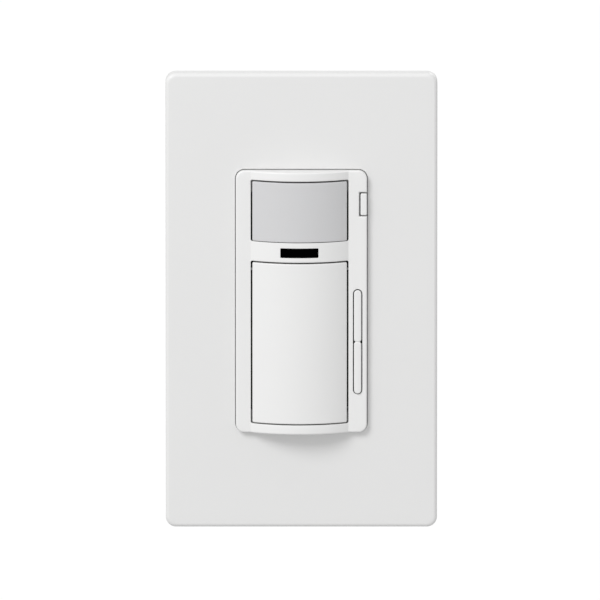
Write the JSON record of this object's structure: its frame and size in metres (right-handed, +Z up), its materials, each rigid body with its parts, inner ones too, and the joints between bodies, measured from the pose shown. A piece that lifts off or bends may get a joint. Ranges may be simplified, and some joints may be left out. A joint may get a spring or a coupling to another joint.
{
  "type": "motion sensing wall dimmer",
  "caption": "Wall dimmer with a motion sensor lens, push pad, narrow raise and lower rocker and a clip-fitted screwless wallplate, on a metal strap with a wall box housing.",
  "frame": {"origin": "on the wall's surface (y = 0), at the middle of the wallplate, on the wall box's axis", "axes": "+Z up, +X to the right as the user sees it, +Y into the wall; the user stands at -Y"},
  "size_m": [0.069, 0.0414, 0.1164],
  "materials": {
    "white_plastic": "satin moulded",
    "lens_plastic": "milky, moulded",
    "smoked_window": "polished black",
    "clear_plastic": "clear",
    "dark_plastic": "fine moulded texture",
    "zinc_steel": "zinc plated",
    "green_steel": "green plating",
    "brass": "bright, stamped",
    "copper": "copper, bright",
    "board_green": "solder mask on laminate",
    "ferrite": "painted powdered iron",
    "cap_film": "cast epoxy",
    "cap_sleeve": "shrunk sleeve",
    "varistor_blue": "dipped epoxy",
    "fibre": "pressed fibre",
    "silicone_grey": "thermal pad"
  },
  "bodies": {
    "device": {"wallplate_subplate": "white_plastic", "plate_screw_top": "zinc_steel", "plate_screw_bottom": "zinc_steel", "mounting_strap": "zinc_steel", "box_screw_top": "zinc_steel", "box_screw_bottom": "zinc_steel", "screw_retainer_top": "fibre", "screw_retainer_bottom": "fibre", "ground_screw": "green_steel", "front_bezel": "white_plastic", "sensor_lens": "lens_plastic", "indicator_window": "smoked_window", "indicator_light_pipe": "clear_plastic", "indicator_lamp": "clear_plastic", "daylight_cell": "smoked_window", "sensor_spacer": "dark_plastic", "motion_sensor_can": "zinc_steel", "motion_sensor_filter": "smoked_window", "pad_switch_body": "dark_plastic", "rocker_pin": "zinc_steel", "raise_switch_body": "dark_plastic", "lower_switch_body": "dark_plastic", "air_gap_contact_upper": "copper", "air_gap_contact_lower": "copper", "control_board": "board_green", "microcontroller": "dark_plastic", "board_header": "dark_plastic", "power_board": "board_green", "choke_core": "ferrite", "choke_winding": "copper", "film_capacitor": "cap_film", "electrolytic_capacitor": "cap_sleeve", "surge_varistor": "varistor_blue", "line_fuse": "clear_plastic", "power_transistor": "dark_plastic", "transistor_insulator": "silicone_grey", "transistor_rivet": "zinc_steel", "rear_housing": "dark_plastic", "housing_screw_1": "zinc_steel", "housing_screw_2": "zinc_steel", "housing_screw_3": "zinc_steel", "housing_screw_4": "zinc_steel", "line_terminal": "brass", "line_terminal_screw": "brass", "load_terminal": "brass", "load_terminal_screw": "brass", "neutral_terminal": "brass", "neutral_terminal_screw": "zinc_steel", "traveller_terminal": "brass", "traveller_terminal_screw": "brass"},
    "cover": {"wallplate_cover": "white_plastic"},
    "pad": {"push_pad": "white_plastic"},
    "pad_plunger": {"pad_switch_plunger": "dark_plastic"},
    "rocker": {"dimmer_rocker": "white_plastic"},
    "raise_plunger": {"raise_switch_plunger": "dark_plastic"},
    "lower_plunger": {"lower_switch_plunger": "dark_plastic"},
    "air_gap_slider": {"air_gap_tab": "white_plastic", "air_gap_bridge": "copper"}
  },
  "joints": [
    {"name": "cover_pull", "type": "slide", "parent": "device", "child": "cover", "axis": [0, -1, 0], "range_m": [0, 0.02]},
    {"name": "pad_press", "type": "hinge", "parent": "device", "child": "pad", "pos_m": [0, -0.0059, 0.0083], "axis": [1, 0, 0], "range_deg": [0, 1.5], "stiffness_Nm_per_rad": 0.5, "springref_deg": -1.15},
    {"name": "pad_plunger_slide", "type": "slide", "parent": "device", "child": "pad_plunger", "axis": [0, 1, 0], "range_m": [0, 0.0007]},
    {"name": "rocker_tilt", "type": "hinge", "parent": "device", "child": "rocker", "pos_m": [0.01428, -0.0063, -0.01027], "axis": [1, 0, 0], "range_deg": [-2.2, 2.2], "stiffness_Nm_per_rad": 0.05},
    {"name": "raise_plunger_slide", "type": "slide", "parent": "device", "child": "raise_plunger", "axis": [0, 1, 0], "range_m": [-0.00035, 0.00035]},
    {"name": "lower_plunger_slide", "type": "slide", "parent": "device", "child": "lower_plunger", "axis": [0, 1, 0], "range_m": [-0.00035, 0.00035]},
    {"name": "air_gap_pull", "type": "slide", "parent": "device", "child": "air_gap_slider", "axis": [0, -1, 0], "range_m": [0, 0.0025]}
  ],
  "couplings": [
    {"joint": "pad_plunger_slide", "follows": "pad_press", "m_per_rad": 0.0233},
    {"joint": "raise_plunger_slide", "follows": "rocker_tilt", "m_per_rad": -0.0085},
    {"joint": "lower_plunger_slide", "follows": "rocker_tilt", "m_per_rad": 0.0085}
  ]
}
